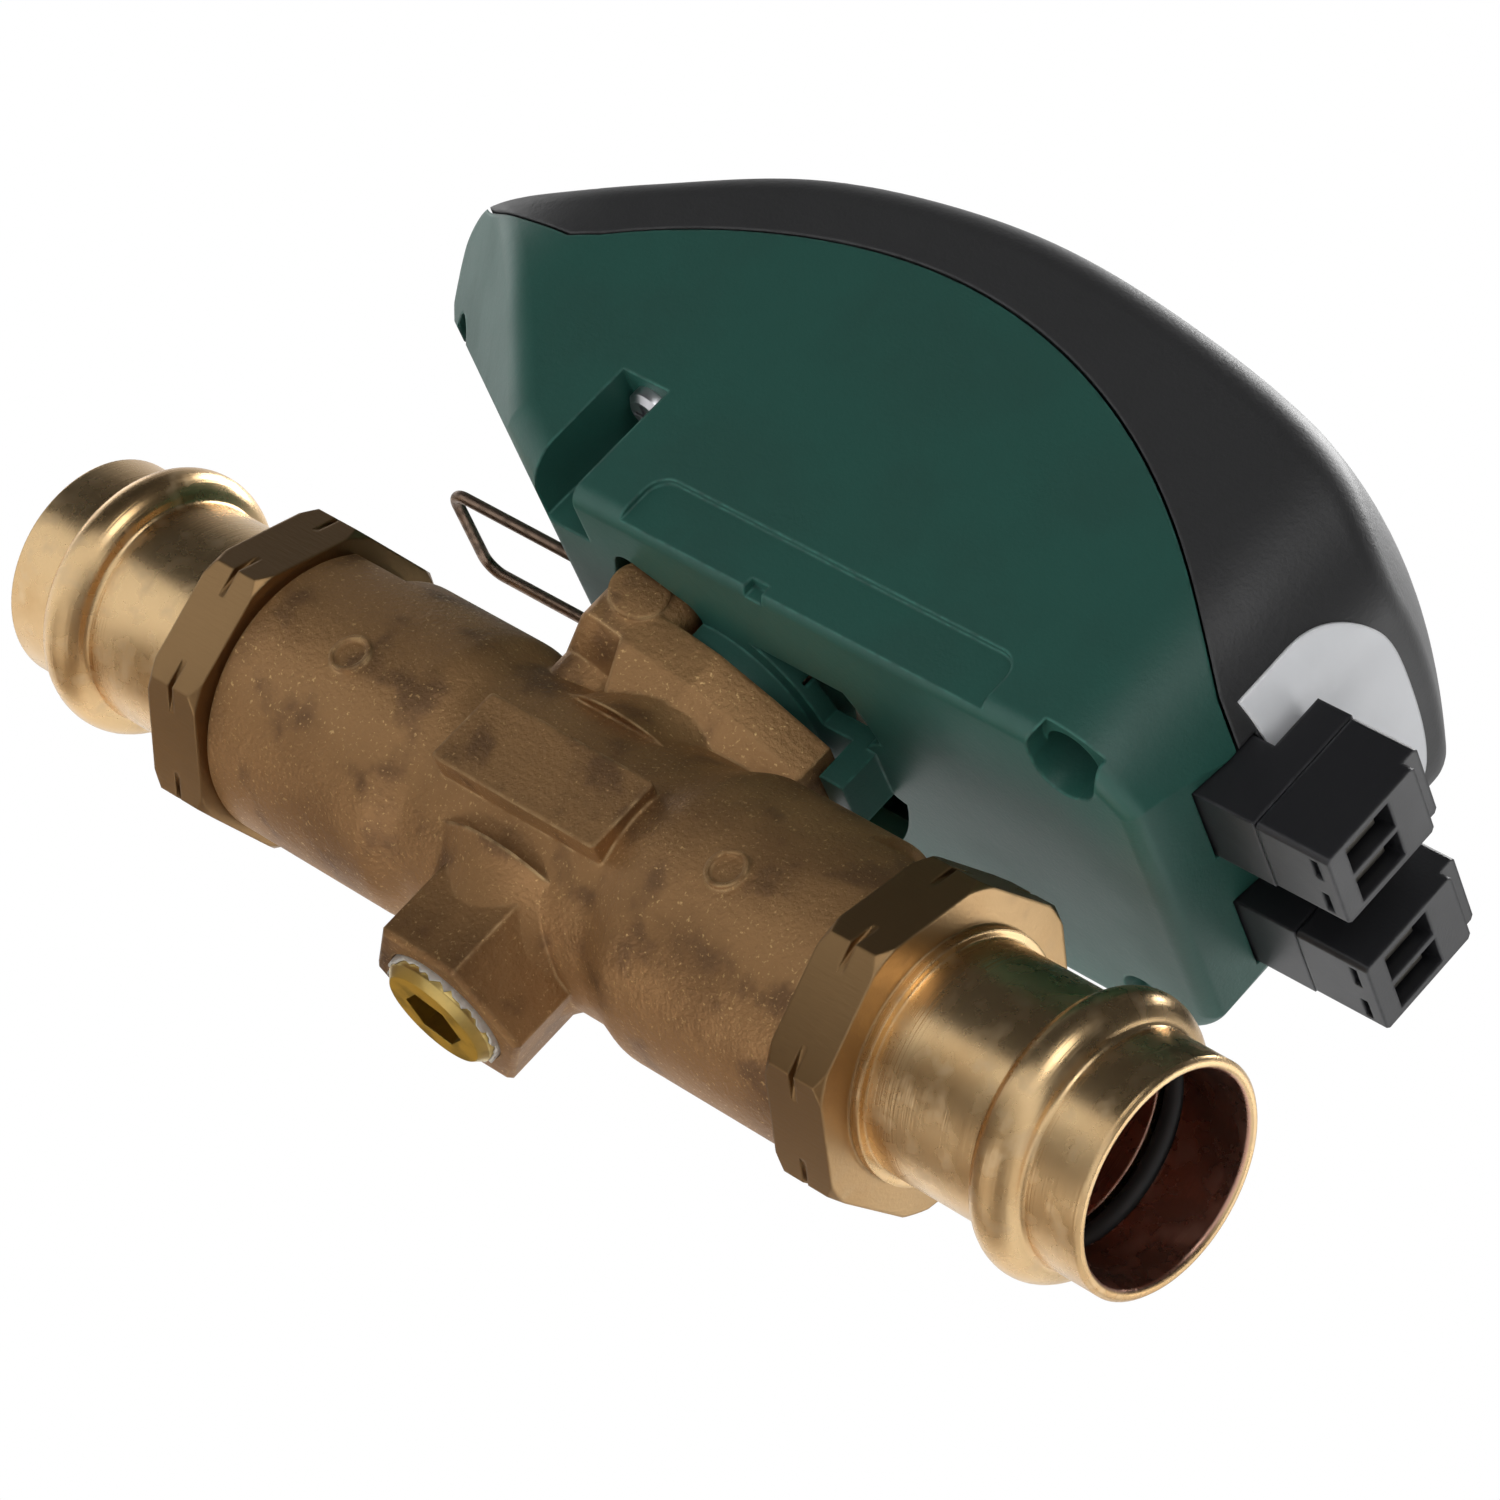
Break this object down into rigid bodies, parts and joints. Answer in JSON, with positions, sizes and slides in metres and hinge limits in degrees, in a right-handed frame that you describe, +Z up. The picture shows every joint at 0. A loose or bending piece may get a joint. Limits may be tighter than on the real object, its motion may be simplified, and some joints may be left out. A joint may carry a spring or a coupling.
{
  "type": "motorized zone valve",
  "caption": "Motorized ball zone valve for hydronic heating, with press-fit pipe ends, a drain plug and a clip-on geared power head that turns the ball a quarter turn.",
  "frame": {"origin": "centre of the ball, on the pipe axis midway between the two press ends", "axes": "+X along the pipe towards the outlet press end, +Z up the stem into the power head, so the pad on the casting faces -Y"},
  "size_m": [0.1536, 0.0446, 0.1002],
  "materials": {
    "cast_bronze": "rough sand-cast bronze",
    "press_bronze": "polished, machined",
    "yellow_brass": "turned brass",
    "black_rubber": "moulded rubber",
    "white_polymer": "sealing polymer",
    "chrome_ball": "polished plating",
    "spring_steel": "bronze-toned spring wire",
    "bright_steel": "plated steel",
    "green_plastic": "fine-grained moulded plastic",
    "black_plastic": "satin moulded plastic",
    "connector_plastic": "moulded plastic",
    "natural_plastic": "natural moulded gear plastic",
    "capacitor_sleeve": "shrink sleeve",
    "relay_plastic": "moulded plastic",
    "board_laminate": "solder mask",
    "label_film": "silver-white printed film",
    "light_plastic": "tinted lens",
    "contact_metal": "tinned contacts"
  },
  "bodies": {
    "valve_and_head": {"base_housing": "green_plastic", "board_chip": "connector_plastic", "circuit_board": "board_laminate", "drain_plug": "yellow_brass", "drain_seal": "white_polymer", "end_switch": "connector_plastic", "gear_plate": "bright_steel", "gear_shafts": "bright_steel", "gland_bushing": "white_polymer", "gland_cap": "bright_steel", "header_pins": "contact_metal", "inlet_ball_seat": "white_polymer", "inlet_press_end": "press_bronze", "inlet_shank_seal": "black_rubber", "inlet_tube_ring": "black_rubber", "motor_can": "bright_steel", "nose_screw": "bright_steel", "outlet_ball_seat": "white_polymer", "outlet_press_end": "press_bronze", "outlet_shank_seal": "black_rubber", "outlet_tube_ring": "black_rubber", "plate_screws": "bright_steel", "power_header": "connector_plastic", "rear_screws": "bright_steel", "relay": "relay_plastic", "return_capacitors": "capacitor_sleeve", "side_screws": "bright_steel", "status_label": "label_film", "status_light": "light_plastic", "stem_rings": "black_rubber", "switch_lever": "bright_steel", "thermostat_header": "connector_plastic", "thrust_washer": "white_polymer", "top_cover": "black_plastic", "valve_body": "cast_bronze"},
    "ball_drive": {"ball": "chrome_ball", "stem": "yellow_brass", "output_gear": "natural_plastic", "switch_cam": "natural_plastic"},
    "second_gear_spindle": {"second_gear": "natural_plastic"},
    "first_gear_spindle": {"first_gear": "natural_plastic"},
    "motor_spindle": {"motor_pinion": "natural_plastic", "motor_shaft": "bright_steel", "motor_rotor": "bright_steel"},
    "clip": {"retaining_clip": "spring_steel"},
    "power_plug_body": {"power_plug": "connector_plastic", "power_plug_contacts": "contact_metal"},
    "thermostat_plug_body": {"thermostat_plug": "connector_plastic", "thermostat_plug_contacts": "contact_metal"}
  },
  "joints": [
    {"name": "ball_turn", "type": "hinge", "parent": "valve_and_head", "child": "ball_drive", "pos_m": [0, 0, 0], "axis": [0, 0, 1], "range_deg": [-1, 91]},
    {"name": "second_gear_spin", "type": "hinge", "parent": "valve_and_head", "child": "second_gear_spindle", "pos_m": [0.0225, 0, 0], "axis": [0, 0, 1], "range_deg": [-316, 1]},
    {"name": "first_gear_spin", "type": "hinge", "parent": "valve_and_head", "child": "first_gear_spindle", "pos_m": [0.0409, 0, 0], "axis": [0, 0, 1], "range_deg": [0, 1134]},
    {"name": "motor_spin", "type": "hinge", "parent": "valve_and_head", "child": "motor_spindle", "pos_m": [0.0247, 0, 0], "axis": [0, 0, 1], "range_deg": [-3980, 12]},
    {"name": "clip_pull", "type": "slide", "parent": "valve_and_head", "child": "clip", "axis": [-1, 0, 0], "range_m": [0, 0.022]},
    {"name": "power_plug_pull", "type": "slide", "parent": "valve_and_head", "child": "power_plug_body", "axis": [1, 0, 0], "range_m": [0, 0.012]},
    {"name": "thermostat_plug_pull", "type": "slide", "parent": "valve_and_head", "child": "thermostat_plug_body", "axis": [1, 0, 0], "range_m": [0, 0.012]}
  ],
  "couplings": [
    {"joint": "ball_turn", "follows": "first_gear_spin", "ratio": 0.079365},
    {"joint": "second_gear_spin", "follows": "first_gear_spin", "ratio": -0.27778},
    {"joint": "motor_spin", "follows": "first_gear_spin", "ratio": -3.5}
  ]
}
